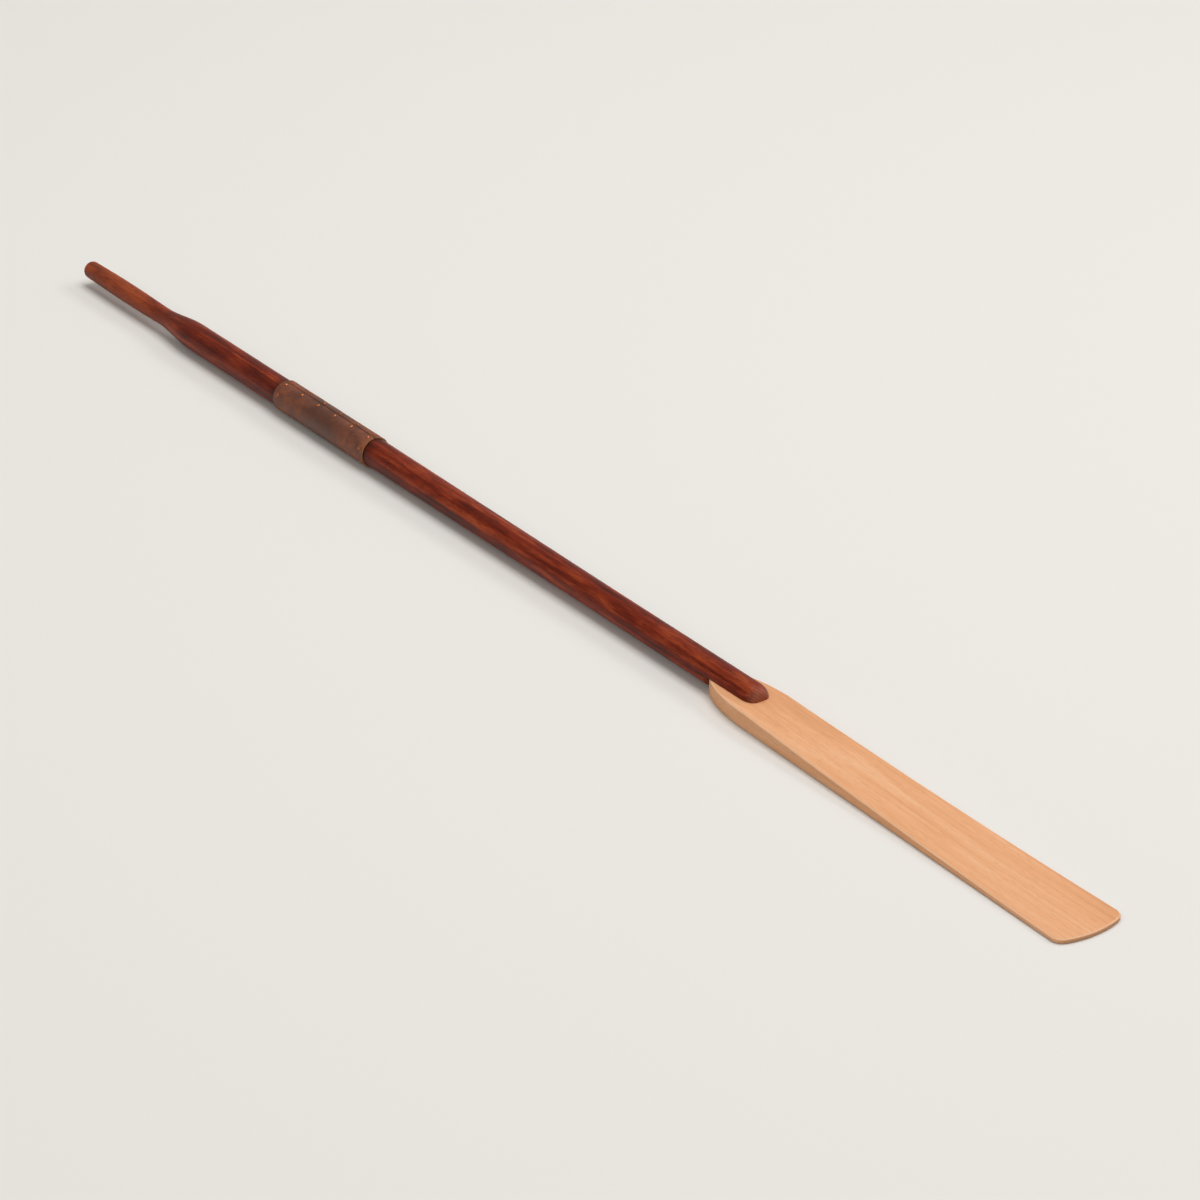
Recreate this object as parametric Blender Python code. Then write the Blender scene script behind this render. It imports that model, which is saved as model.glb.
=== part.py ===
"""Rowing oar for a sea boat: a round mahogany shaft half-lapped onto a flat beech blade.

A leather sleeve is tacked round the loom where the oar works on the thole. Units are metres. X runs along the oar
with the blade's tip at +X, Z is up, and the oar lies on its flat blade face and on the leather.
"""

import math

import bmesh
import bpy
from mathutils import Matrix, Vector

# Whole oar
OAR_LENGTH = 3.000

# Shaft, one piece of mahogany from the grip to the nose that lies on the blade
GRIP_DIAMETER = 0.035
GRIP_SWELL = 0.003
GRIP_LENGTH = 0.280
GRIP_END_ROUND = 0.009
COVE_LENGTH = 0.120
LOOM_DIAMETER = 0.054
NECK_DIAMETER = 0.050
NECK_LENGTH = 0.300
NOSE_LENGTH = 0.026
NOSE_FLAT_DIAMETER = 0.018

# Blade, one beech board
BLADE_LENGTH = 0.960
BLADE_TIP_WIDTH = 0.135
BLADE_THROAT_WIDTH = 0.098
BLADE_ROOT_ROUND = 0.150
BLADE_ROOT_THICKNESS = 0.032
BLADE_TIP_THICKNESS = 0.009
BLADE_FLAT_PAST_LAP = 0.010
BLADE_HOLLOW = 1.8
TIP_ARC_RISE = 0.014
TIP_CORNER = 0.015
BLADE_EDGE_ROUND = 0.003

# Half lap between shaft and blade, with blind pegs
LAP_LENGTH = 0.130
PEG_COUNT = 3
PEG_SPACING = 0.035
PEG_DIAMETER = 0.010
PEG_DEPTH_IN_BLADE = 0.015
PEG_DEPTH_IN_SHAFT = 0.012
PEG_CHAMFER = 0.001

# Leather sleeve, butted along a seam on top
SLEEVE_START = 0.720
SLEEVE_LENGTH = 0.300
SLEEVE_THICKNESS = 0.003
SEAM_GAP = 0.0012

# Copper tacks that hold the leather
TACK_HEAD_DIAMETER = 0.0080
TACK_HEAD_HEIGHT = 0.0020
TACK_SHANK_DIAMETER = 0.0024
TACK_LENGTH_IN_WOOD = 0.0120
TACK_POINT_LENGTH = 0.0030
TACK_END_MARGIN = 0.012
SEAM_TACKS_A_SIDE = 6
SEAM_TACK_OFFSET = 0.008
RING_TACK_ANGLES = (65.0, 125.0, -125.0, -65.0)

# Fits
FIT_GAP = 0.0003
HOLE_END_GAP = 0.0005
ROUND_SEGMENTS = 48
HOLE_SEGMENTS = 8
TACK_SEGMENTS = 10
TAPER_STEPS = 10
REACH = 0.020

# Places that follow from the sizes
HANDLE_X = -OAR_LENGTH / 2
TIP_X = OAR_LENGTH / 2
ROOT_X = TIP_X - BLADE_LENGTH
SHOULDER_X = ROOT_X - FIT_GAP
NOSE_X = ROOT_X + LAP_LENGTH
SLEEVE_X0 = HANDLE_X + SLEEVE_START
SLEEVE_X1 = SLEEVE_X0 + SLEEVE_LENGTH
SLEEVE_INNER = LOOM_DIAMETER / 2 + FIT_GAP
SLEEVE_OUTER = SLEEVE_INNER + SLEEVE_THICKNESS
AXIS_Z = SLEEVE_OUTER
SEAT_Z = BLADE_ROOT_THICKNESS + FIT_GAP
TACK_SEAT = SLEEVE_OUTER + FIT_GAP
TACK_TIP = LOOM_DIAMETER / 2 - TACK_LENGTH_IN_WOOD


def clear_scene():
    for obj in list(bpy.data.objects):
        bpy.data.objects.remove(obj, do_unlink=True)


def make_material(name, colour, roughness, metallic):
    material = bpy.data.materials.new(name)
    material.use_nodes = True
    shader = material.node_tree.nodes["Principled BSDF"]
    shader.inputs["Base Color"].default_value = (*colour, 1.0)
    shader.inputs["Roughness"].default_value = roughness
    shader.inputs["Metallic"].default_value = metallic
    return material


def add_object(name, bm, material=None, smooth=False):
    bmesh.ops.recalc_face_normals(bm, faces=bm.faces)
    for face in bm.faces:
        face.smooth = smooth
    mesh = bpy.data.meshes.new(name)
    bm.to_mesh(mesh)
    bm.free()
    obj = bpy.data.objects.new(name, mesh)
    bpy.context.scene.collection.objects.link(obj)
    if material:
        mesh.materials.append(material)
    return obj


def as_cutter(obj):
    obj.hide_render = True
    obj.display_type = "WIRE"
    return obj


def cut(obj, cutter):
    modifier = obj.modifiers.new("cut by " + cutter.name, "BOOLEAN")
    modifier.operation = "DIFFERENCE"
    modifier.solver = "EXACT"
    modifier.object = cutter


def spin_profile(points, axis, segments):
    """A solid turned about the axis from (along, radius) points that start and end on it."""
    across = Vector((0.0, 0.0, 1.0)) if axis.x else Vector((1.0, 0.0, 0.0))
    bm = bmesh.new()
    verts = [bm.verts.new(axis * along + across * radius) for along, radius in points]
    edges = [bm.edges.new(pair) for pair in zip(verts, verts[1:])]
    bmesh.ops.spin(
        bm,
        geom=verts + edges,
        cent=(0.0, 0.0, 0.0),
        axis=axis,
        angle=math.tau,
        steps=segments,
        use_merge=True,
    )
    bmesh.ops.remove_doubles(bm, verts=bm.verts, dist=1e-6)
    return bm


def add_drill(bm, placing, start, end, diameter):
    """One more cylinder in bm, along the Z of the placing matrix from start to end."""
    middle = Matrix.Translation((0.0, 0.0, (start + end) / 2))
    bmesh.ops.create_cone(
        bm,
        cap_ends=True,
        segments=HOLE_SEGMENTS,
        radius1=diameter / 2,
        radius2=diameter / 2,
        depth=end - start,
        matrix=placing @ middle,
    )


def tack_places():
    """(x, turn about the shaft) of every tack: two rows beside the seam and a ring at each end."""
    first = SLEEVE_X0 + TACK_END_MARGIN
    last = SLEEVE_X1 - TACK_END_MARGIN
    pitch = (last - first) / (SEAM_TACKS_A_SIDE - 1)
    turn = SEAM_TACK_OFFSET / SLEEVE_OUTER
    places = []
    for side in (-turn, turn):
        places += [(first + pitch * i, side) for i in range(SEAM_TACKS_A_SIDE)]
    for x in (first, last):
        places += [(x, math.radians(angle)) for angle in RING_TACK_ANGLES]
    return places


def on_shaft(x, turn=0.0):
    return Matrix.Translation((x, 0.0, AXIS_Z)) @ Matrix.Rotation(turn, 4, "X")


def build_tack_drills():
    bm = bmesh.new()
    for x, turn in tack_places():
        end = SLEEVE_OUTER + REACH
        add_drill(bm, on_shaft(x, turn), TACK_TIP - HOLE_END_GAP, end, TACK_SHANK_DIAMETER + 2 * FIT_GAP)
    return as_cutter(add_object("tack_drills", bm))


def peg_places():
    middle = (ROOT_X + NOSE_X - NOSE_LENGTH) / 2
    return [middle + PEG_SPACING * (i - (PEG_COUNT - 1) / 2) for i in range(PEG_COUNT)]


def build_peg_drills(name, start, end):
    bm = bmesh.new()
    for x in peg_places():
        add_drill(bm, Matrix.Translation((x, 0.0, 0.0)), start, end, PEG_DIAMETER + 2 * FIT_GAP)
    return as_cutter(add_object(name, bm))


def build_shaft(material, tack_drills):
    grip = GRIP_DIAMETER / 2
    loom = LOOM_DIAMETER / 2
    neck = NECK_DIAMETER / 2
    cove_x = HANDLE_X + GRIP_LENGTH
    profile = [(HANDLE_X, 0.0)]
    for i in range(5):
        angle = math.pi / 2 * i / 4
        along = HANDLE_X + GRIP_END_ROUND * (1 - math.cos(angle))
        profile.append((along, grip - GRIP_END_ROUND * (1 - math.sin(angle))))
    swell_x = HANDLE_X + GRIP_END_ROUND
    for i in range(1, 8):
        share = i / 8
        swell = GRIP_SWELL / 2 * math.sin(math.pi * share)
        profile.append((swell_x + (cove_x - swell_x) * share, grip + swell))
    for i in range(9):
        share = i / 8
        rise = (1 - math.cos(math.pi * share)) / 2
        profile.append((cove_x + COVE_LENGTH * share, grip + (loom - grip) * rise))
    profile += [
        (SLEEVE_X0 - REACH, loom),
        (SLEEVE_X1 + REACH, loom),
        (SHOULDER_X - NECK_LENGTH, neck),
        (SHOULDER_X - REACH, neck),
    ]
    for i in range(5):
        angle = math.pi / 2 * i / 4
        drop = (neck - NOSE_FLAT_DIAMETER / 2) * (1 - math.cos(angle))
        profile.append((NOSE_X - NOSE_LENGTH * (1 - math.sin(angle)), neck - drop))
    profile.append((NOSE_X, 0.0))
    bm = spin_profile(profile, Vector((1.0, 0.0, 0.0)), ROUND_SEGMENTS)
    bmesh.ops.translate(bm, verts=bm.verts, vec=(0.0, 0.0, AXIS_Z))
    shaft = add_object("shaft", bm, material, smooth=True)

    notch_length = LAP_LENGTH + REACH
    notch_height = SEAT_Z + REACH
    bm = bmesh.new()
    bmesh.ops.create_cube(bm, size=1.0)
    bmesh.ops.scale(bm, verts=bm.verts, vec=(notch_length, 2 * NECK_DIAMETER, notch_height))
    place = (SHOULDER_X + notch_length / 2, 0.0, SEAT_Z - notch_height / 2)
    bmesh.ops.translate(bm, verts=bm.verts, vec=place)
    cut(shaft, as_cutter(add_object("lap_notch", bm)))
    top = SEAT_Z + PEG_DEPTH_IN_SHAFT
    cut(shaft, build_peg_drills("shaft_peg_drills", SEAT_Z - REACH, top))
    cut(shaft, tack_drills)


def blade_outline():
    """Half the blade's outline, from the root's point on the centre line to the tip's."""
    throat = BLADE_THROAT_WIDTH / 2
    half_tip = BLADE_TIP_WIDTH / 2
    points = []
    for i in range(15):
        angle = math.pi / 2 * i / 14
        points.append((ROOT_X + BLADE_ROOT_ROUND * (1 - math.cos(angle)), throat * math.sin(angle)))
    radius = (half_tip**2 + TIP_ARC_RISE**2) / (2 * TIP_ARC_RISE)
    reach = math.asin(half_tip / radius)
    for i in range(4):
        angle = reach * (1 - i / 3)
        points.append((TIP_X - radius * (1 - math.cos(angle)), radius * math.sin(angle)))
    return points


def planed_off():
    """Side outline of what is planed off the upper face, which falls fast past the lap and slowly to the tip."""
    flat_end = NOSE_X + BLADE_FLAT_PAST_LAP
    length = TIP_X - flat_end
    drop = BLADE_ROOT_THICKNESS - BLADE_TIP_THICKNESS
    lid_z = BLADE_ROOT_THICKNESS + REACH
    start_slope = BLADE_HOLLOW * drop / length
    points = [(flat_end - REACH, lid_z), (flat_end - REACH, BLADE_ROOT_THICKNESS + start_slope * REACH)]
    for i in range(1, TAPER_STEPS + 1):
        share = i / TAPER_STEPS
        points.append((flat_end + length * share, BLADE_TIP_THICKNESS + drop * (1 - share) ** BLADE_HOLLOW))
    points += [(TIP_X + REACH, BLADE_TIP_THICKNESS), (TIP_X + REACH, lid_z)]
    return points


def build_blade(material):
    half = blade_outline()
    other = [(x, -y) for x, y in reversed(half[1:-1])]
    bm = bmesh.new()
    verts = [bm.verts.new((x, y, 0.0)) for x, y in half + other]
    bm.faces.new(verts)
    corners = [v for v in verts if abs(abs(v.co.y) - BLADE_TIP_WIDTH / 2) < 1e-6]
    bmesh.ops.bevel(
        bm,
        geom=corners,
        offset=TIP_CORNER,
        offset_type="OFFSET",
        segments=5,
        profile=0.5,
        affect="VERTICES",
    )
    risen = bmesh.ops.extrude_face_region(bm, geom=bm.faces[:])
    risen = [v for v in risen["geom"] if isinstance(v, bmesh.types.BMVert)]
    bmesh.ops.translate(bm, verts=risen, vec=(0.0, 0.0, BLADE_ROOT_THICKNESS))
    blade = add_object("blade", bm, material)

    side = BLADE_TIP_WIDTH / 2 + REACH
    bm = bmesh.new()
    face = bm.faces.new([bm.verts.new((x, -side, z)) for x, z in planed_off()])
    swept = bmesh.ops.extrude_face_region(bm, geom=[face])
    swept = [v for v in swept["geom"] if isinstance(v, bmesh.types.BMVert)]
    bmesh.ops.translate(bm, verts=swept, vec=(0.0, 2 * side, 0.0))
    cut(blade, as_cutter(add_object("blade_taper", bm)))

    bevel = blade.modifiers.new("eased edges", "BEVEL")
    bevel.width = BLADE_EDGE_ROUND
    bevel.segments = 2
    bevel.limit_method = "ANGLE"
    bevel.angle_limit = math.radians(50)
    bottom = BLADE_ROOT_THICKNESS - PEG_DEPTH_IN_BLADE
    cut(blade, build_peg_drills("blade_peg_drills", bottom, SEAT_Z + REACH))


def build_pegs(material):
    low = BLADE_ROOT_THICKNESS - PEG_DEPTH_IN_BLADE + HOLE_END_GAP
    high = SEAT_Z + PEG_DEPTH_IN_SHAFT - HOLE_END_GAP
    radius = PEG_DIAMETER / 2
    profile = [
        (high, 0.0),
        (high, radius - PEG_CHAMFER),
        (high - PEG_CHAMFER, radius),
        (low + PEG_CHAMFER, radius),
        (low, radius - PEG_CHAMFER),
        (low, 0.0),
    ]
    for number, x in enumerate(peg_places(), 1):
        bm = spin_profile(profile, Vector((0.0, 0.0, 1.0)), HOLE_SEGMENTS)
        # The peg's flats lie with those of its hole.
        bmesh.ops.rotate(bm, verts=bm.verts, matrix=Matrix.Rotation(math.pi / 2, 3, "Z"))
        peg = add_object(f"lap_peg_{number}", bm, material, smooth=True)
        peg.location.x = x


def build_sleeve(material, tack_drills):
    seam_turn = SEAM_GAP / SLEEVE_OUTER
    bm = bmesh.new()
    section = [
        bm.verts.new((SLEEVE_X0, 0.0, SLEEVE_INNER)),
        bm.verts.new((SLEEVE_X1, 0.0, SLEEVE_INNER)),
        bm.verts.new((SLEEVE_X1, 0.0, SLEEVE_OUTER)),
        bm.verts.new((SLEEVE_X0, 0.0, SLEEVE_OUTER)),
    ]
    face = bm.faces.new(section)
    bmesh.ops.rotate(bm, verts=bm.verts, matrix=Matrix.Rotation(seam_turn / 2, 3, "X"))
    bmesh.ops.spin(
        bm,
        geom=[face],
        cent=(0.0, 0.0, 0.0),
        axis=(1.0, 0.0, 0.0),
        angle=math.tau - seam_turn,
        steps=ROUND_SEGMENTS,
    )
    bmesh.ops.remove_doubles(bm, verts=bm.verts, dist=1e-6)
    bmesh.ops.translate(bm, verts=bm.verts, vec=(0.0, 0.0, AXIS_Z))
    sleeve = add_object("leather_sleeve", bm, material, smooth=True)
    cut(sleeve, tack_drills)


def build_tacks(material):
    head = TACK_HEAD_DIAMETER / 2
    shank = TACK_SHANK_DIAMETER / 2
    profile = [
        (TACK_SEAT + TACK_HEAD_HEIGHT, 0.0),
        (TACK_SEAT + 0.85 * TACK_HEAD_HEIGHT, 0.55 * head),
        (TACK_SEAT + 0.30 * TACK_HEAD_HEIGHT, head),
        (TACK_SEAT, head),
        (TACK_SEAT, shank),
        (TACK_TIP + TACK_POINT_LENGTH, shank),
        (TACK_TIP, 0.0),
    ]
    for number, (x, turn) in enumerate(tack_places(), 1):
        bm = spin_profile(profile, Vector((0.0, 0.0, 1.0)), TACK_SEGMENTS)
        tack = add_object(f"copper_tack_{number:02d}", bm, material, smooth=True)
        tack.location = (x, 0.0, AXIS_Z)
        tack.rotation_euler.x = turn


clear_scene()
mahogany = make_material("mahogany", (0.105, 0.022, 0.012), 0.38, 0.0)
beech = make_material("beech", (0.62, 0.36, 0.19), 0.55, 0.0)
dowel_wood = make_material("dowel_wood", (0.55, 0.38, 0.22), 0.7, 0.0)
leather = make_material("leather", (0.16, 0.065, 0.025), 0.6, 0.0)
copper = make_material("copper", (0.55, 0.24, 0.13), 0.4, 1.0)
drills = build_tack_drills()
build_shaft(mahogany, drills)
build_blade(beech)
build_pegs(dowel_wood)
build_sleeve(leather, drills)
build_tacks(copper)
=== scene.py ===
import math

import bmesh
import bpy
from mathutils import Matrix, Vector, noise


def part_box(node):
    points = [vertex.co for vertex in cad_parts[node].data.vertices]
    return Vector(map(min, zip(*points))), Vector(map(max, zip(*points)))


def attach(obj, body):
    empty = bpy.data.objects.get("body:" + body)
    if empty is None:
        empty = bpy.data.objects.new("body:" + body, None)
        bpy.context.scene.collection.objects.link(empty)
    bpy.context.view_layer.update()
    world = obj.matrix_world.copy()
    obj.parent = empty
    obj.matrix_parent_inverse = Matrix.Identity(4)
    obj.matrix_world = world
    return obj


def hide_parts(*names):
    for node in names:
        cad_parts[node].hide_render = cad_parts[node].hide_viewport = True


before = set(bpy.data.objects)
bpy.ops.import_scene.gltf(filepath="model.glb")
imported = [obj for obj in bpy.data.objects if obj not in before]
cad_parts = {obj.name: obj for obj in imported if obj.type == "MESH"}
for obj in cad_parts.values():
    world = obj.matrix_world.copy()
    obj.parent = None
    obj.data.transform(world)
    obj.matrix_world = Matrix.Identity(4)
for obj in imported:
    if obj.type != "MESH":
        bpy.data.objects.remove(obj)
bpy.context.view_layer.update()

# Studio
# A pale matt floor that the oar lies on, wide soft lights overhead and on both sides, the left one weaker,
# and a camera that looks down along the oar from beyond its tip and to one side.
FLOOR_SIZE = 60.0
FLOOR_COLOUR = "#dcdad6"
AIR_COLOUR = "#f2efea"
AIR_STRENGTH = 0.45
CAMERA_AZIMUTH = math.radians(54.0)
CAMERA_ELEVATION = math.radians(28.0)
CAMERA_DISTANCE = 8.0
CAMERA_SENSOR = 36.0
FRAME_WIDTH_AT_OAR = 2.08
AIM = Vector((0.155, 0.045, -0.015))
LIGHT_AIM = Vector((0.2, 0.0, 0.0))
SHARP_ANGLE = math.radians(35.0)


def linear(hex_colour):
    """An sRGB hex colour as linear RGBA."""
    parts = [int(hex_colour[i : i + 2], 16) / 255 for i in (1, 3, 5)]
    return (*[p / 12.92 if p <= 0.04045 else ((p + 0.055) / 1.055) ** 2.4 for p in parts], 1.0)


def set_inputs(tree, node, inputs):
    """Sets a node's inputs to values, or links them to other nodes' outputs."""
    for name, value in inputs.items():
        if isinstance(value, bpy.types.NodeSocket):
            tree.links.new(value, node.inputs[name])
        else:
            node.inputs[name].default_value = value


def new_material(name):
    """A new material, its node tree and its shader."""
    material = bpy.data.materials.new(name)
    material.use_nodes = True
    return material, material.node_tree, material.node_tree.nodes["Principled BSDF"]


def add_piece(name, bm, material):
    """The bmesh as a finished object, its place in its mesh, shaded smooth between its sharp edges."""
    mesh = bpy.data.meshes.new(name)
    bm.to_mesh(mesh)
    bm.free()
    mesh.shade_smooth()
    mesh.set_sharp_from_angle(angle=SHARP_ANGLE)
    mesh.materials.append(material)
    piece = bpy.data.objects.new(name, mesh)
    bpy.context.scene.collection.objects.link(piece)
    return piece


floor_matt, tree, shader = new_material("matt_studio_floor")
set_inputs(
    tree, shader, {"Base Color": linear(FLOOR_COLOUR), "Roughness": 0.9, "Specular IOR Level": 0.2}
)
bm = bmesh.new()
bmesh.ops.create_grid(bm, x_segments=1, y_segments=1, size=FLOOR_SIZE / 2)
floor = add_piece("floor", bm, floor_matt)

back = Vector(
    (
        math.sin(CAMERA_AZIMUTH) * math.cos(CAMERA_ELEVATION),
        -math.cos(CAMERA_AZIMUTH) * math.cos(CAMERA_ELEVATION),
        math.sin(CAMERA_ELEVATION),
    )
)
camera_data = bpy.data.cameras.new("camera")
camera_data.sensor_width = CAMERA_SENSOR
camera_data.lens = CAMERA_SENSOR * CAMERA_DISTANCE / FRAME_WIDTH_AT_OAR
camera = bpy.data.objects.new("camera", camera_data)
camera.location = AIM + back * CAMERA_DISTANCE
camera.rotation_euler = (-back).to_track_quat("-Z", "Y").to_euler()
bpy.context.scene.collection.objects.link(camera)
bpy.context.scene.camera = camera

for name, place, size, power in (
    ("overhead_softbox", (0.3, 2.0, 10.0), (12.0, 6.0), 760.0),
    ("right_softbox", (3.5, 12.0, 10.0), (10.0, 4.0), 520.0),
    ("left_fill", (1.5, -12.0, 10.0), (10.0, 5.0), 300.0),
):
    light_data = bpy.data.lights.new(name, "AREA")
    light_data.shape = "RECTANGLE"
    light_data.size, light_data.size_y = size
    light_data.energy = power
    light = bpy.data.objects.new(name, light_data)
    light.location = place
    light.rotation_euler = (LIGHT_AIM - light.location).to_track_quat("-Z", "Y").to_euler()
    bpy.context.scene.collection.objects.link(light)

world = bpy.data.worlds.new("studio")
world.use_nodes = True
air = world.node_tree.nodes["Background"]
set_inputs(world.node_tree, air, {"Color": linear(AIR_COLOUR), "Strength": AIR_STRENGTH})
bpy.context.scene.world = world
bpy.context.scene.view_settings.view_transform = "Standard"

# Shaft
# One turned and planed length of mahogany: a hand grip, a cove up to the loom, a slow taper to the neck, and
# a half-round tail with a rounded nose that is glued onto the blade. Satin varnish, worn off at the grip.
GRIP_DIAMETER = 0.035
GRIP_SWELL = 0.003
GRIP_LENGTH = 0.280
GRIP_END_ROUND = 0.009
COVE_LENGTH = 0.120
LOOM_DIAMETER = 0.054
LOOM_STRAIGHT_PAST_LEATHER = 0.020
NECK_DIAMETER = 0.050
NECK_LENGTH = 0.300
NOSE_LENGTH = 0.026
NOSE_FLAT_DIAMETER = 0.018
GLUE_LINE = 0.00005
LAP_EDGE_ROUND = 0.0003
LAP_EDGE_ANGLE = math.radians(50.0)
GRIP_END_STEPS = 12
SWELL_STEPS = 24
COVE_STEPS = 24
NOSE_STEPS = 16
SHAFT_SEGMENTS = 128
TOUCHING = 1e-6
MAHOGANY_DARK = "#3d0d05"
MAHOGANY_RED = "#6f200c"
MAHOGANY_PALE = "#9f4321"
MAHOGANY_PORE = "#2a0805"
# End grain colours, painted paler than the wood, partly as a painted highlight on the nose and the other
# ends.
MAHOGANY_END_GRAIN_AND_HIGHLIGHT = "#a9664e"
MAHOGANY_END_RING_AND_HIGHLIGHT = "#925640"
MAHOGANY_WORN = "#9a4c2c"
MAHOGANY_GREASED = "#2f0c07"
VARNISH_SHEEN = "#f2a888"
END_RING_SPACING = 0.005
PITH_TO_ONE_SIDE = 0.045
WEAR_FULL_BEFORE_COVE = 0.160
WEAR_GONE_PAST_COVE = 0.140
GREASE_CREEP = 0.035

# The wood's figures, as length along the oar and width across it.
RIBBON_SIZE = (0.450, 0.010)
MOTTLE_SIZE = (0.075, 0.012)
PORE_SIZE = (0.018, 0.0012)

# A wave texture at scale 1 repeats after this length.
WAVE_LENGTH = math.tau / 20

# A Mix node's sockets for colours.
COLOUR_A = 6
COLOUR_B = 7
COLOUR_OUT = 2


def turned(points, axis, segments):
    """A solid turned from its profile's points about an axis through the origin, with open ends filled."""
    bm = bmesh.new()
    verts = [bm.verts.new(point) for point in points]
    edges = [bm.edges.new(pair) for pair in zip(verts, verts[1:])]
    bmesh.ops.spin(
        bm,
        geom=verts + edges,
        cent=(0.0, 0.0, 0.0),
        axis=axis,
        angle=math.tau,
        steps=segments,
        use_merge=True,
    )
    bmesh.ops.remove_doubles(bm, verts=bm.verts, dist=TOUCHING)
    bmesh.ops.holes_fill(bm, edges=bm.edges)
    bmesh.ops.recalc_face_normals(bm, faces=bm.faces)
    return bm


def add_node(tree, kind, inputs=None, stops=(), **settings):
    """A new node with its settings and inputs, and a colour ramp's stops as positions and hex colours."""
    node = tree.nodes.new(kind)
    for name, value in settings.items():
        setattr(node, name, value)
    set_inputs(tree, node, inputs or {})
    for _ in stops[2:]:
        node.color_ramp.elements.new(0.5)
    for i, (position, colour) in enumerate(stops):
        node.color_ramp.elements[i].position = position
        node.color_ramp.elements[i].color = linear(colour)
    return node


def along_oar(size):
    """A Mapping node's scale for a figure with this length along the oar and this width across it."""
    length, width = size
    return (1 / length, 1 / width, 1 / width)


shaft_low, shaft_high = (Vector(corner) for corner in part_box("shaft"))
blade_low, blade_high = (Vector(corner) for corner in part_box("blade"))
sleeve_low, sleeve_high = (Vector(corner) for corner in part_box("leather_sleeve"))
sleeve_length = sleeve_high.x - sleeve_low.x
sleeve_middle = (sleeve_high.x + sleeve_low.x) / 2
axis_z = (sleeve_low.z + sleeve_high.z) / 2
shoulder_x = blade_low.x - GLUE_LINE
seat_z = blade_high.z + GLUE_LINE
nose_x = shaft_high.x
swell_x = shaft_low.x + GRIP_END_ROUND
cove_x = shaft_low.x + GRIP_LENGTH

profile = []
for i in range(GRIP_END_STEPS + 1):
    angle = math.pi / 2 * i / GRIP_END_STEPS
    x = shaft_low.x + GRIP_END_ROUND * (1 - math.cos(angle))
    profile.append((x, GRIP_DIAMETER / 2 - GRIP_END_ROUND * (1 - math.sin(angle))))
for i in range(1, SWELL_STEPS):
    swell = GRIP_SWELL / 2 * math.sin(math.pi * i / SWELL_STEPS)
    profile.append((swell_x + (cove_x - swell_x) * i / SWELL_STEPS, GRIP_DIAMETER / 2 + swell))
for i in range(COVE_STEPS + 1):
    rise = (1 - math.cos(math.pi * i / COVE_STEPS)) / 2
    radius = (GRIP_DIAMETER + (LOOM_DIAMETER - GRIP_DIAMETER) * rise) / 2
    profile.append((cove_x + COVE_LENGTH * i / COVE_STEPS, radius))
profile.append((sleeve_high.x + LOOM_STRAIGHT_PAST_LEATHER, LOOM_DIAMETER / 2))
profile.append((shoulder_x - NECK_LENGTH, NECK_DIAMETER / 2))
for i in range(NOSE_STEPS + 1):
    angle = math.pi / 2 * i / NOSE_STEPS
    drop = (NECK_DIAMETER - NOSE_FLAT_DIAMETER) / 2 * (1 - math.cos(angle))
    profile.append((nose_x - NOSE_LENGTH * (1 - math.sin(angle)), NECK_DIAMETER / 2 - drop))
bm = turned([(x, 0.0, radius) for x, radius in profile], (1.0, 0.0, 0.0), SHAFT_SEGMENTS)
bmesh.ops.translate(bm, verts=bm.verts, vec=(0.0, 0.0, axis_z))

# The lap: the tail loses its lower half from the shoulder to the nose.
whole = bm.verts[:] + bm.edges[:] + bm.faces[:]
bmesh.ops.bisect_plane(bm, geom=whole, plane_co=(shoulder_x, 0.0, 0.0), plane_no=(1.0, 0.0, 0.0))
tail = [face for face in bm.faces if face.calc_center_median().x > shoulder_x]
tail_geom = list(dict.fromkeys(item for face in tail for item in (*face.verts, *face.edges, face)))
bmesh.ops.bisect_plane(bm, geom=tail_geom, plane_co=(0.0, 0.0, seat_z), plane_no=(0.0, 0.0, 1.0))
waste = []
for face in bm.faces:
    centre = face.calc_center_median()
    if centre.x > shoulder_x and centre.z < seat_z:
        waste.append(face)
bmesh.ops.delete(bm, geom=waste, context="FACES")
corners = []
for vert in bm.verts:
    if abs(vert.co.x - shoulder_x) < TOUCHING and abs(vert.co.z - seat_z) < TOUCHING:
        corners.append(vert)
lip = bm.edges.new(corners)
open_edges = [edge for edge in bm.edges if edge.is_boundary]
bmesh.ops.edgenet_fill(bm, edges=open_edges + [lip])
bmesh.ops.recalc_face_normals(bm, faces=bm.faces)
lap_edges = []
for edge in bm.edges:
    past = min(vert.co.x for vert in edge.verts) > shoulder_x - TOUCHING
    if past and edge is not lip and edge.calc_face_angle(0.0) > LAP_EDGE_ANGLE:
        lap_edges.append(edge)
bmesh.ops.bevel(
    bm, geom=lap_edges, offset=LAP_EDGE_ROUND, segments=3, profile=0.5, affect="EDGES", material=-1
)

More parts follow.
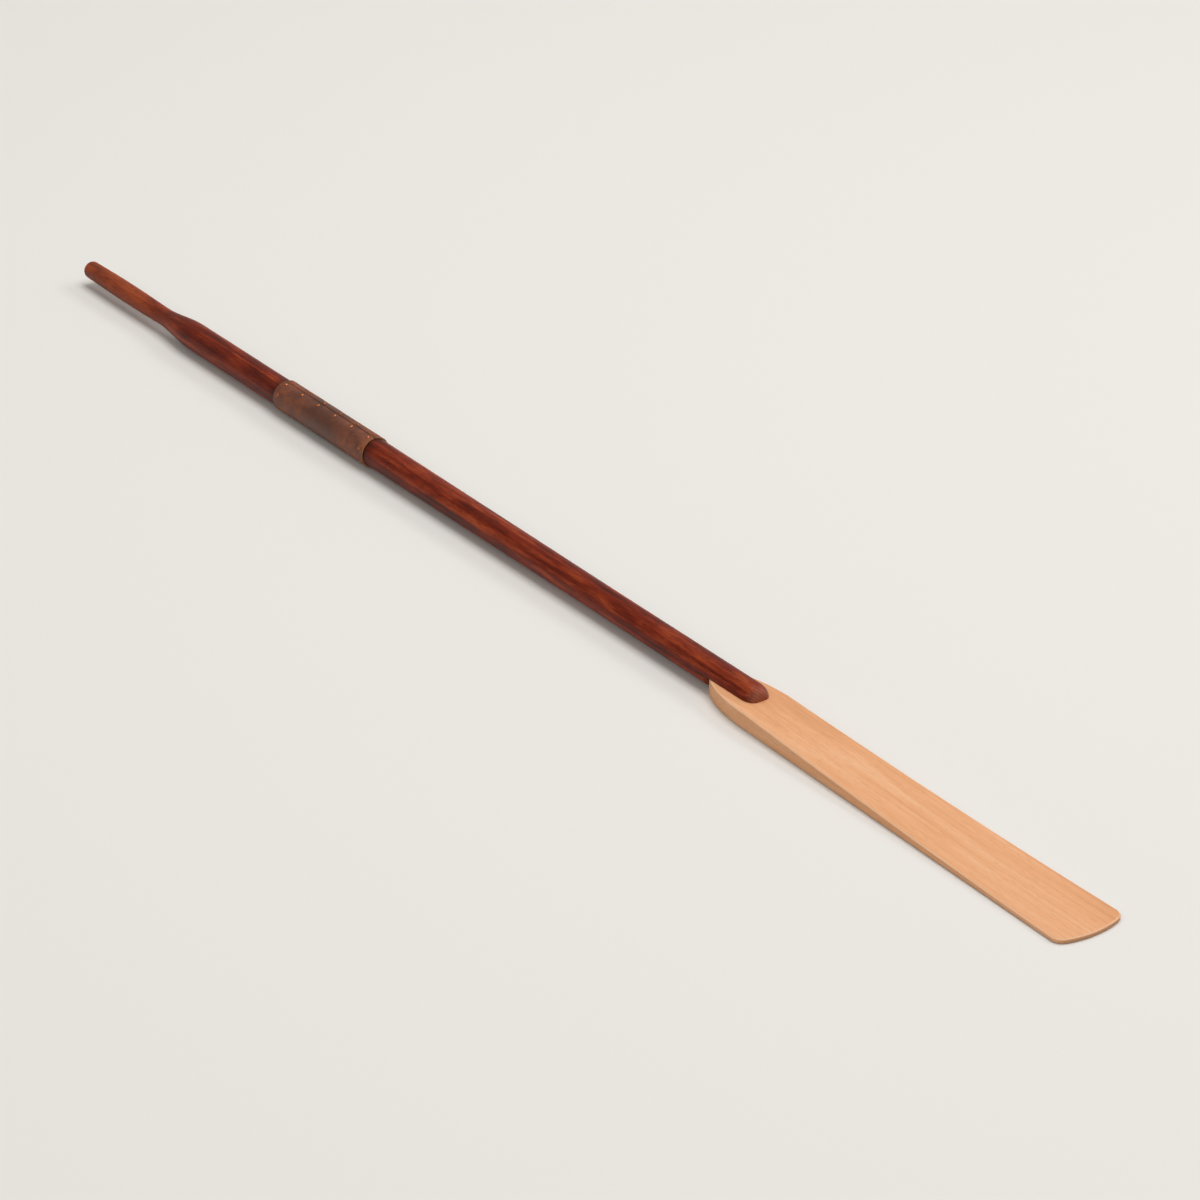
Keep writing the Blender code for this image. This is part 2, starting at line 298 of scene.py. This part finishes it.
# Mahogany, planed and varnished: a deep red-brown with long ribbons, a broken mottle and short open pores
# along the grain, end grain with soft growth rings that is painted paler, partly as its own colour and
# partly as a painted highlight on the nose and the other ends, and varnish that lies a little unevenly.
# Pores are
# 0.2 mm wide in the wood and are drawn six times as wide, so that they show. Hands have worn the varnish off
# the grip, and grease has crept out from under the leather.
mahogany, tree, shader = new_material("varnished_mahogany")
surface = add_node(tree, "ShaderNodeTexCoord")
where = surface.outputs["Object"]
along = add_node(tree, "ShaderNodeSeparateXYZ", {0: where}).outputs["X"]
facing = add_node(tree, "ShaderNodeSeparateXYZ", {0: surface.outputs["Normal"]})
ribbon_map = add_node(tree, "ShaderNodeMapping", {"Vector": where, "Scale": along_oar(RIBBON_SIZE)})
ribbon = add_node(
    tree,
    "ShaderNodeTexNoise",
    {"Vector": ribbon_map.outputs[0], "Scale": 1.0, "Detail": 5.0, "Distortion": 0.5},
)
mottle_map = add_node(tree, "ShaderNodeMapping", {"Vector": where, "Scale": along_oar(MOTTLE_SIZE)})
mottle = add_node(
    tree, "ShaderNodeTexNoise", {"Vector": mottle_map.outputs[0], "Scale": 1.0, "Detail": 3.0}
)
figure = add_node(
    tree, "ShaderNodeMix", {"Factor": 0.45, "A": ribbon.outputs["Fac"], "B": mottle.outputs["Fac"]}
)
tone = add_node(
    tree,
    "ShaderNodeValToRGB",
    {"Fac": figure.outputs[0]},
    stops=((0.36, MAHOGANY_DARK), (0.50, MAHOGANY_RED), (0.66, MAHOGANY_PALE)),
)
end_facing = add_node(tree, "ShaderNodeMath", {0: facing.outputs["X"]}, operation="ABSOLUTE")
end_mask = add_node(
    tree,
    "ShaderNodeMapRange",
    {"Value": end_facing.outputs[0], "From Min": 0.15, "From Max": 0.75, "To Min": 0.0, "To Max": 0.7},
)
ring_map = add_node(tree, "ShaderNodeMapping", {"Vector": where, "Location": (0.0, PITH_TO_ONE_SIDE, 0.0)})
ring = add_node(
    tree,
    "ShaderNodeTexWave",
    {
        "Vector": ring_map.outputs[0],
        "Scale": WAVE_LENGTH / END_RING_SPACING,
        "Distortion": 1.5,
        "Detail": 2.0,
    },
    wave_type="RINGS",
    rings_direction="X",
)
# The end grain is painted paler, partly as a painted highlight on the nose and the other ends.
end_tone_and_highlight = add_node(
    tree,
    "ShaderNodeMix",
    {
        "Factor": ring.outputs["Fac"],
        COLOUR_A: linear(MAHOGANY_END_GRAIN_AND_HIGHLIGHT),
        COLOUR_B: linear(MAHOGANY_END_RING_AND_HIGHLIGHT),
    },
    data_type="RGBA",
)
ended = add_node(
    tree,
    "ShaderNodeMix",
    {
        "Factor": end_mask.outputs["Result"],
        COLOUR_A: tone.outputs["Color"],
        COLOUR_B: end_tone_and_highlight.outputs[COLOUR_OUT],
    },
    data_type="RGBA",
)
grip_mask = add_node(
    tree,
    "ShaderNodeMapRange",
    {
        "Value": along,
        "From Min": cove_x - WEAR_FULL_BEFORE_COVE,
        "From Max": cove_x + WEAR_GONE_PAST_COVE,
        "To Min": 1.0,
        "To Max": 0.0,
    },
    interpolation_type="SMOOTHSTEP",
)
handled = add_node(
    tree,
    "ShaderNodeMapRange",
    {"Value": mottle.outputs["Fac"], "From Min": 0.3, "From Max": 0.7, "To Min": 0.35, "To Max": 0.75},
)
worn = add_node(
    tree,
    "ShaderNodeMath",
    {0: grip_mask.outputs["Result"], 1: handled.outputs["Result"]},
    operation="MULTIPLY",
)
gripped = add_node(
    tree,
    "ShaderNodeMix",
    {
        "Factor": worn.outputs[0],
        COLOUR_A: ended.outputs[COLOUR_OUT],
        COLOUR_B: linear(MAHOGANY_WORN),
    },
    data_type="RGBA",
)
pore_map = add_node(tree, "ShaderNodeMapping", {"Vector": where, "Scale": along_oar(PORE_SIZE)})
pore = add_node(tree, "ShaderNodeTexNoise", {"Vector": pore_map.outputs[0], "Scale": 1.0, "Detail": 1.0})
pore_mask = add_node(
    tree,
    "ShaderNodeMapRange",
    {"Value": pore.outputs["Fac"], "From Min": 0.56, "From Max": 0.70, "To Min": 0.0, "To Max": 0.7},
)
side_share = add_node(tree, "ShaderNodeMath", {0: 1.0, 1: end_mask.outputs["Result"]}, operation="SUBTRACT")
pore_share = add_node(
    tree,
    "ShaderNodeMath",
    {0: pore_mask.outputs["Result"], 1: side_share.outputs[0]},
    operation="MULTIPLY",
)
pored = add_node(
    tree,
    "ShaderNodeMix",
    {
        "Factor": pore_share.outputs[0],
        COLOUR_A: gripped.outputs[COLOUR_OUT],
        COLOUR_B: linear(MAHOGANY_PORE),
    },
    data_type="RGBA",
)
leather_offset = add_node(tree, "ShaderNodeMath", {0: along, 1: sleeve_middle}, operation="SUBTRACT")
from_leather = add_node(tree, "ShaderNodeMath", {0: leather_offset.outputs[0]}, operation="ABSOLUTE")
grease = add_node(
    tree,
    "ShaderNodeMapRange",
    {
        "Value": from_leather.outputs[0],
        "From Min": sleeve_length / 2,
        "From Max": sleeve_length / 2 + GREASE_CREEP,
        "To Min": 0.7,
        "To Max": 0.0,
    },
    interpolation_type="SMOOTHSTEP",
)
greased = add_node(
    tree,
    "ShaderNodeMix",
    {
        "Factor": grease.outputs["Result"],
        COLOUR_A: pored.outputs[COLOUR_OUT],
        COLOUR_B: linear(MAHOGANY_GREASED),
    },
    data_type="RGBA",
)
satin = add_node(
    tree,
    "ShaderNodeMapRange",
    {"Value": mottle.outputs["Fac"], "From Min": 0.3, "From Max": 0.7, "To Min": 0.38, "To Max": 0.52},
)
dulled = add_node(
    tree,
    "ShaderNodeMath",
    {0: worn.outputs[0], 1: 0.25, 2: satin.outputs["Result"]},
    operation="MULTIPLY_ADD",
)
uneven = add_node(
    tree, "ShaderNodeBump", {"Height": mottle.outputs["Fac"], "Strength": 0.3, "Distance": 0.002}
)
pitted = add_node(
    tree,
    "ShaderNodeBump",
    {
        "Height": pore_mask.outputs["Result"],
        "Strength": 0.25,
        "Distance": 0.0003,
        "Normal": uneven.outputs["Normal"],
    },
    invert=True,
)
set_inputs(
    tree,
    shader,
    {
        "Base Color": greased.outputs[COLOUR_OUT],
        "Roughness": dulled.outputs[0],
        "Normal": pitted.outputs["Normal"],
        "IOR": 1.5,
        "Specular IOR Level": 0.2,
        "Specular Tint": linear(VARNISH_SHEEN),
        "Coat Weight": 0.08,
        "Coat Roughness": 0.25,
    },
)

shaft = add_piece("shaft_wood", bm, mahogany)
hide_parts("shaft")
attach(shaft, "root")

# Blade
# One beech board, sawn to a long wedge with a rounded root, planed thinner towards the tip on its upper face
# and eased by hand along every edge. The shaft's tail is glued onto its root. Oiled, not varnished.
BLADE_THROAT_WIDTH = 0.098
BLADE_TIP_WIDTH = 0.135
BLADE_ROOT_ROUND = 0.150
BLADE_TIP_THICKNESS = 0.009
BLADE_FLAT_PAST_LAP = 0.010
BLADE_HOLLOW_POWER = 1.8
TIP_ARC_RISE = 0.014
TIP_ARC_FROM_SIDE = 0.020
TIP_CORNER = 0.015
BLADE_EDGE_ROUND = 0.004
BLADE_EDGE_ANGLE = math.radians(60.0)
ROOT_STEPS = 40
TIP_ARC_STEPS = 8
TIP_CORNER_STEPS = 12
TAPER_STEPS = 40
BEECH_DARK = "#cb8e60"
BEECH = "#da9d6e"
BEECH_PALE = "#e2ad84"
BEECH_FLECK = "#b97f55"
BEECH_END_GRAIN = "#b67c50"
# The eased edges' paler colour: rubbed wear and a painted highlight along their rounding.
BEECH_RUBBED_AND_HIGHLIGHT = "#f0c9a6"
BROAD_FIGURE_SIZE = (0.550, 0.035)
GROWTH_LINE_SIZE = (0.400, 0.0035)
FLECK_SIZE = (0.018, 0.0012)

root_x = blade_low.x
tip_x = blade_high.x
flat_end = nose_x + BLADE_FLAT_PAST_LAP
taper_length = tip_x - flat_end
half_tip = BLADE_TIP_WIDTH / 2
tip_arc_radius = (half_tip**2 + TIP_ARC_RISE**2) / (2 * TIP_ARC_RISE)
half_outline = []
for i in range(ROOT_STEPS + 1):
    angle = math.pi / 2 * i / ROOT_STEPS
    x = root_x + BLADE_ROOT_ROUND * (1 - math.cos(angle))
    half_outline.append((x, BLADE_THROAT_WIDTH / 2 * math.sin(angle)))
half_outline.append((tip_x - TIP_ARC_RISE, half_tip))
for i in range(TIP_ARC_STEPS + 1):
    y = (half_tip - TIP_ARC_FROM_SIDE) * (1 - i / TIP_ARC_STEPS)
    half_outline.append((tip_x - tip_arc_radius + math.sqrt(tip_arc_radius**2 - y**2), y))
outline = half_outline + [(x, -y) for x, y in reversed(half_outline[1:-1])]

bm = bmesh.new()
verts = [bm.verts.new((x, y, 0.0)) for x, y in outline]
bm.faces.new(verts)
tip_corners = [vert for vert in verts if abs(abs(vert.co.y) - half_tip) < TOUCHING]
bmesh.ops.bevel(
    bm,
    geom=tip_corners,
    offset=TIP_CORNER,
    segments=TIP_CORNER_STEPS,
    profile=0.5,
    affect="VERTICES",
    material=-1,
)
raised = bmesh.ops.extrude_face_region(bm, geom=bm.faces[:])["geom"]
upper_verts = [item for item in raised if isinstance(item, bmesh.types.BMVert)]
bmesh.ops.translate(bm, verts=upper_verts, vec=(0.0, 0.0, blade_high.z))
for i in range(TAPER_STEPS):
    station = flat_end + taper_length * i / TAPER_STEPS
    whole = bm.verts[:] + bm.edges[:] + bm.faces[:]
    bmesh.ops.bisect_plane(bm, geom=whole, plane_co=(station, 0.0, 0.0), plane_no=(1.0, 0.0, 0.0))
for vert in bm.verts:
    if vert.co.z > blade_high.z / 2 and vert.co.x > flat_end:
        to_tip = max(0.0, (tip_x - vert.co.x) / taper_length)
        vert.co.z = BLADE_TIP_THICKNESS + (blade_high.z - BLADE_TIP_THICKNESS) * to_tip**BLADE_HOLLOW_POWER
bmesh.ops.recalc_face_normals(bm, faces=bm.faces)
blade_edges = [edge for edge in bm.edges if edge.calc_face_angle(0.0) > BLADE_EDGE_ANGLE]
bmesh.ops.bevel(
    bm, geom=blade_edges, offset=BLADE_EDGE_ROUND, segments=6, profile=0.5, affect="EDGES", material=-1
)

# Beech, planed and oiled: a warm pale tan with faint long figure, fine growth lines and short darker ray
# flecks along the grain, darker end grain, and eased edges painted paler, as rubbed wear and as a painted
# highlight along their rounding. The flecks are 0.3 mm wide in the wood and are drawn four times as wide, so
# that they show.
beech, tree, shader = new_material("oiled_beech")
surface = add_node(tree, "ShaderNodeTexCoord")
where = surface.outputs["Object"]
facing = add_node(tree, "ShaderNodeSeparateXYZ", {0: surface.outputs["Normal"]})
broad_map = add_node(tree, "ShaderNodeMapping", {"Vector": where, "Scale": along_oar(BROAD_FIGURE_SIZE)})
broad = add_node(
    tree,
    "ShaderNodeTexNoise",
    {"Vector": broad_map.outputs[0], "Scale": 1.0, "Detail": 4.0, "Distortion": 0.6},
)
line_map = add_node(tree, "ShaderNodeMapping", {"Vector": where, "Scale": along_oar(GROWTH_LINE_SIZE)})
line = add_node(tree, "ShaderNodeTexNoise", {"Vector": line_map.outputs[0], "Scale": 1.0, "Detail": 2.0})
figure = add_node(
    tree, "ShaderNodeMix", {"Factor": 0.4, "A": broad.outputs["Fac"], "B": line.outputs["Fac"]}
)
tone = add_node(
    tree,
    "ShaderNodeValToRGB",
    {"Fac": figure.outputs[0]},
    stops=((0.32, BEECH_DARK), (0.50, BEECH), (0.70, BEECH_PALE)),
)
fleck_map = add_node(tree, "ShaderNodeMapping", {"Vector": where, "Scale": along_oar(FLECK_SIZE)})
fleck = add_node(tree, "ShaderNodeTexNoise", {"Vector": fleck_map.outputs[0], "Scale": 1.0, "Detail": 0.0})
fleck_mask = add_node(
    tree,
    "ShaderNodeMapRange",
    {"Value": fleck.outputs["Fac"], "From Min": 0.58, "From Max": 0.74, "To Min": 0.0, "To Max": 0.3},
)
flecked = add_node(
    tree,
    "ShaderNodeMix",
    {
        "Factor": fleck_mask.outputs["Result"],
        COLOUR_A: tone.outputs["Color"],
        COLOUR_B: linear(BEECH_FLECK),
    },
    data_type="RGBA",
)
end_facing = add_node(tree, "ShaderNodeMath", {0: facing.outputs["X"]}, operation="ABSOLUTE")
end_mask = add_node(
    tree,
    "ShaderNodeMapRange",
    {"Value": end_facing.outputs[0], "From Min": 0.5, "From Max": 0.95, "To Min": 0.0, "To Max": 0.7},
)
ended = add_node(
    tree,
    "ShaderNodeMix",
    {
        "Factor": end_mask.outputs["Result"],
        COLOUR_A: flecked.outputs[COLOUR_OUT],
        COLOUR_B: linear(BEECH_END_GRAIN),
    },
    data_type="RGBA",
)

# An eased edge faces halfway between up and sideways, where z² (1 - z²) of its normal's z is near 0.25.
up = facing.outputs["Z"]
up_squared = add_node(tree, "ShaderNodeMath", {0: up, 1: up}, operation="MULTIPLY").outputs[0]
sideways = add_node(tree, "ShaderNodeMath", {0: 1.0, 1: up_squared}, operation="SUBTRACT").outputs[0]
eased = add_node(tree, "ShaderNodeMath", {0: up_squared, 1: sideways}, operation="MULTIPLY")
# The eased edges are painted paler: partly rubbed wear, partly a painted highlight where their rounding
# would catch the light.
rubbed_and_highlight = add_node(
    tree,
    "ShaderNodeMapRange",
    {"Value": eased.outputs[0], "From Min": 0.05, "From Max": 0.25, "To Min": 0.0, "To Max": 0.6},
)
edged = add_node(
    tree,
    "ShaderNodeMix",
    {
        "Factor": rubbed_and_highlight.outputs["Result"],
        COLOUR_A: ended.outputs[COLOUR_OUT],
        COLOUR_B: linear(BEECH_RUBBED_AND_HIGHLIGHT),
    },
    data_type="RGBA",
)
oiled = add_node(
    tree,
    "ShaderNodeMapRange",
    {"Value": figure.outputs[0], "From Min": 0.3, "From Max": 0.7, "To Min": 0.50, "To Max": 0.64},
)
pitted = add_node(
    tree,
    "ShaderNodeBump",
    {"Height": fleck_mask.outputs["Result"], "Strength": 0.2, "Distance": 0.0002},
    invert=True,
)
set_inputs(
    tree,
    shader,
    {
        "Base Color": edged.outputs[COLOUR_OUT],
        "Roughness": oiled.outputs["Result"],
        "Normal": pitted.outputs["Normal"],
        "IOR": 1.5,
        "Specular IOR Level": 0.35,
    },
)

blade = add_piece("blade_wood", bm, beech)
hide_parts("blade")
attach(blade, "root")

# Lap pegs
# Three birch dowels, turned and left raw, glued into blind holes across the lap. They stay as the frame has
# them, inside the joint, with raw wood on them and its grain along them.
BIRCH_DARK = "#b9935f"
BIRCH_PALE = "#dcc091"
BIRCH_GRAIN_WIDTH = 0.0015
BIRCH_GRAIN_LENGTH = 0.012

birch, tree, shader = new_material("raw_birch_dowel")
where = add_node(tree, "ShaderNodeTexCoord").outputs["Object"]
grain_scale = (1 / BIRCH_GRAIN_WIDTH, 1 / BIRCH_GRAIN_WIDTH, 1 / BIRCH_GRAIN_LENGTH)
grain_map = add_node(tree, "ShaderNodeMapping", {"Vector": where, "Scale": grain_scale})
grain = add_node(tree, "ShaderNodeTexNoise", {"Vector": grain_map.outputs[0], "Scale": 1.0, "Detail": 2.0})
tone = add_node(
    tree, "ShaderNodeValToRGB", {"Fac": grain.outputs["Fac"]}, stops=((0.0, BIRCH_DARK), (1.0, BIRCH_PALE))
)
set_inputs(tree, shader, {"Base Color": tone.outputs["Color"], "Roughness": 0.75})
for name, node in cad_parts.items():
    if name.startswith("lap_peg"):
        node.data.materials.clear()
        node.data.materials.append(birch)

# Leather sleeve
# A sheet of greased harness leather, wetted, pulled round the loom and butted along a seam on top. It takes
# the wear of the thole, so it is darker and smoother along its middle.
SLEEVE_FIT = 0.0001
SEAM_GAP = 0.0012
SLEEVE_EDGE_ROUND = 0.0009
SLEEVE_EDGE_ANGLE = math.radians(50.0)
SLEEVE_STEPS_ALONG = 150
SLEEVE_STEPS_ROUND = 168
SEAM_TACKS_A_SIDE = 6
SEAM_TACK_OFFSET = 0.008
RING_TACK_ANGLES = (65.0, 125.0, -125.0, -65.0)
TACK_END_MARGIN = 0.012
TACK_DIMPLE_DEPTH = 0.0005
TACK_DIMPLE_REACH = 0.008
LEATHER_WAVE = 0.0003
LEATHER_WAVE_SPACING = 0.022
LEATHER_DARK = "#43210f"
LEATHER_BROWN = "#6e361c"
LEATHER_TAN = "#95552f"
LEATHER_CUT_EDGE = "#a97a52"
HIDE_PATCH = 0.026
PEBBLE = 0.003
THOLE_BAND_HALF = 0.020
THOLE_BAND_FADED = 0.090

sleeve_outer = sleeve_high.z - axis_z
sleeve_inner = LOOM_DIAMETER / 2 + SLEEVE_FIT
seam_turn = SEAM_GAP / sleeve_outer
first_tack = sleeve_low.x + TACK_END_MARGIN
last_tack = sleeve_high.x - TACK_END_MARGIN
tack_places = []
for side in (-SEAM_TACK_OFFSET / sleeve_outer, SEAM_TACK_OFFSET / sleeve_outer):
    for i in range(SEAM_TACKS_A_SIDE):
        share = i / (SEAM_TACKS_A_SIDE - 1)
        tack_places.append((first_tack + (last_tack - first_tack) * share, side))
for x in (first_tack, last_tack):
    tack_places += [(x, math.radians(angle)) for angle in RING_TACK_ANGLES]


def on_sleeve(x, turn, radius):
    """A point at a turn from the top of the loom, towards -Y where it is positive."""
    return Vector((x, -radius * math.sin(turn), axis_z + radius * math.cos(turn)))


tack_points = [on_sleeve(x, turn, sleeve_outer) for x, turn in tack_places]


def drawn_in(point):
    """How far the leather lies under a point of its full radius: slight waves and a dimple at each tack."""
    depth = LEATHER_WAVE * (0.5 + 0.5 * noise.noise(point / LEATHER_WAVE_SPACING))
    for tack_point in tack_points:
        reach = (point - tack_point).length / TACK_DIMPLE_REACH
        depth += TACK_DIMPLE_DEPTH * math.exp(-(reach**2))
    return min(depth, LEATHER_WAVE + TACK_DIMPLE_DEPTH)


# A flat grid of 1 by 1 is rolled into the leather's outer face, and its inner face is drawn out of it.
bm = bmesh.new()
bmesh.ops.create_grid(bm, x_segments=SLEEVE_STEPS_ALONG, y_segments=SLEEVE_STEPS_ROUND, size=0.5)
for vert in bm.verts:
    x = sleeve_middle + sleeve_length * vert.co.x
    turn = math.tau - seam_turn / 2 - (math.tau - seam_turn) * (vert.co.y + 0.5)
    vert.co = on_sleeve(x, turn, sleeve_outer - drawn_in(on_sleeve(x, turn, sleeve_outer)))
hair_side = bm.verts[:] + bm.edges[:] + bm.faces[:]
flesh_side = bmesh.ops.extrude_face_region(bm, geom=hair_side, use_keep_orig=True)["geom"]
for vert in flesh_side:
    if isinstance(vert, bmesh.types.BMVert):
        axis_point = Vector((vert.co.x, 0.0, axis_z))
        vert.co = axis_point + (vert.co - axis_point).normalized() * sleeve_inner
bmesh.ops.recalc_face_normals(bm, faces=bm.faces)
cut_edges = [edge for edge in bm.edges if edge.calc_face_angle(0.0) > SLEEVE_EDGE_ANGLE]
bmesh.ops.bevel(
    bm, geom=cut_edges, offset=SLEEVE_EDGE_ROUND, segments=2, profile=0.5, affect="EDGES", material=-1
)

# Harness leather, greased: red-brown with a pebbled grain, darkened and polished along its middle by the
# thole, with pale raw fibre at its cut ends. The pebbles are 1 mm in the hide and are drawn at 3 mm, so that
# they show.
leather, tree, shader = new_material("greased_harness_leather")
surface = add_node(tree, "ShaderNodeTexCoord")
where = surface.outputs["Object"]
along = add_node(tree, "ShaderNodeSeparateXYZ", {0: where}).outputs["X"]
facing = add_node(tree, "ShaderNodeSeparateXYZ", {0: surface.outputs["Normal"]})
hide = add_node(
    tree, "ShaderNodeTexNoise", {"Vector": where, "Scale": 1 / HIDE_PATCH, "Detail": 6.0, "Roughness": 0.6}
)
tone = add_node(
    tree,
    "ShaderNodeValToRGB",
    {"Fac": hide.outputs["Fac"]},
    stops=((0.24, LEATHER_DARK), (0.50, LEATHER_BROWN), (0.80, LEATHER_TAN)),
)
middle_offset = add_node(tree, "ShaderNodeMath", {0: along, 1: sleeve_middle}, operation="SUBTRACT")
from_middle = add_node(tree, "ShaderNodeMath", {0: middle_offset.outputs[0]}, operation="ABSOLUTE")
thole_band = add_node(
    tree,
    "ShaderNodeMapRange",
    {
        "Value": from_middle.outputs[0],
        "From Min": THOLE_BAND_HALF,
        "From Max": THOLE_BAND_FADED,
        "To Min": 0.6,
        "To Max": 0.0,
    },
    interpolation_type="SMOOTHSTEP",
)
darkened = add_node(
    tree,
    "ShaderNodeMix",
    {
        "Factor": thole_band.outputs["Result"],
        COLOUR_A: tone.outputs["Color"],
        COLOUR_B: linear(LEATHER_DARK),
    },
    data_type="RGBA",
)
end_facing = add_node(tree, "ShaderNodeMath", {0: facing.outputs["X"]}, operation="ABSOLUTE")
cut_mask = add_node(
    tree,
    "ShaderNodeMapRange",
    {"Value": end_facing.outputs[0], "From Min": 0.5, "From Max": 0.9, "To Min": 0.0, "To Max": 0.8},
)
edged = add_node(
    tree,
    "ShaderNodeMix",
    {
        "Factor": cut_mask.outputs["Result"],
        COLOUR_A: darkened.outputs[COLOUR_OUT],
        COLOUR_B: linear(LEATHER_CUT_EDGE),
    },
    data_type="RGBA",
)
sheen = add_node(
    tree,
    "ShaderNodeMapRange",
    {"Value": hide.outputs["Fac"], "From Min": 0.3, "From Max": 0.7, "To Min": 0.46, "To Max": 0.64},
)
polished = add_node(
    tree,
    "ShaderNodeMath",
    {0: thole_band.outputs["Result"], 1: -0.18, 2: sheen.outputs["Result"]},
    operation="MULTIPLY_ADD",
)
pebble = add_node(
    tree, "ShaderNodeTexVoronoi", {"Vector": where, "Scale": 1 / PEBBLE}, feature="SMOOTH_F1"
)
pebbled = add_node(
    tree, "ShaderNodeBump", {"Height": pebble.outputs["Distance"], "Strength": 0.55, "Distance": 0.0008}
)
set_inputs(
    tree,
    shader,
    {
        "Base Color": edged.outputs[COLOUR_OUT],
        "Roughness": polished.outputs[0],
        "Normal": pebbled.outputs["Normal"],
    },
)

sleeve = add_piece("leather_wrap", bm, leather)
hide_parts("leather_sleeve")
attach(sleeve, "root")

# Copper tacks
# Drawn copper tacks with low domed heads, driven through the leather into the loom: a row on each side of
# the seam and a ring at each end. Each head is pulled a little way into the leather.
TACK_HEAD_DIAMETER = 0.0080
TACK_HEAD_HEIGHT = 0.0019
TACK_RIM_SHARE = 0.30
TACK_PULL = 0.00015
TACK_SHANK_DIAMETER = 0.0024
TACK_LENGTH_IN_WOOD = 0.0120
TACK_POINT_LENGTH = 0.0030
TACK_DOME_STEPS = 6
TACK_SEGMENTS = 24
COPPER_DULL = "#7a4429"
COPPER_BRIGHT = "#c67a52"
TARNISH_PATCH = 0.004

# Copper, drawn and left bare: bright metal that has dulled brown in patches, rougher where it is dull.
copper, tree, shader = new_material("dulled_copper")
where = add_node(tree, "ShaderNodeTexCoord").outputs["Object"]
tarnish = add_node(tree, "ShaderNodeTexNoise", {"Vector": where, "Scale": 1 / TARNISH_PATCH, "Detail": 4.0})
tone = add_node(
    tree,
    "ShaderNodeValToRGB",
    {"Fac": tarnish.outputs["Fac"]},
    stops=((0.32, COPPER_DULL), (0.66, COPPER_BRIGHT)),
)
dulled = add_node(
    tree,
    "ShaderNodeMapRange",
    {"Value": tarnish.outputs["Fac"], "From Min": 0.3, "From Max": 0.7, "To Min": 0.5, "To Max": 0.28},
)
set_inputs(
    tree,
    shader,
    {"Base Color": tone.outputs["Color"], "Roughness": dulled.outputs["Result"], "Metallic": 1.0},
)

tack_tip = LOOM_DIAMETER / 2 - TACK_LENGTH_IN_WOOD
for number, (x, turn) in enumerate(tack_places, 1):
    seat = sleeve_outer - drawn_in(on_sleeve(x, turn, sleeve_outer)) - TACK_PULL
    tack_profile = []
    for i in range(TACK_DOME_STEPS + 1):
        angle = math.pi / 2 * i / TACK_DOME_STEPS
        rise = TACK_RIM_SHARE + (1 - TACK_RIM_SHARE) * math.cos(angle)
        tack_profile.append((TACK_HEAD_DIAMETER / 2 * math.sin(angle), seat + TACK_HEAD_HEIGHT * rise))
    tack_profile += [
        (TACK_HEAD_DIAMETER / 2, seat),
        (TACK_SHANK_DIAMETER / 2, seat),
        (TACK_SHANK_DIAMETER / 2, tack_tip + TACK_POINT_LENGTH),
        (0.0, tack_tip),
    ]
    bm = turned([(radius, 0.0, z) for radius, z in tack_profile], (0.0, 0.0, 1.0), TACK_SEGMENTS)
    placing = Matrix.Translation((x, 0.0, axis_z)) @ Matrix.Rotation(turn, 4, "X")
    bmesh.ops.transform(bm, matrix=placing, verts=bm.verts)
    tack = add_piece(f"tack_{number:02d}", bm, copper)
    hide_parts(f"copper_tack_{number:02d}")
    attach(tack, "root")
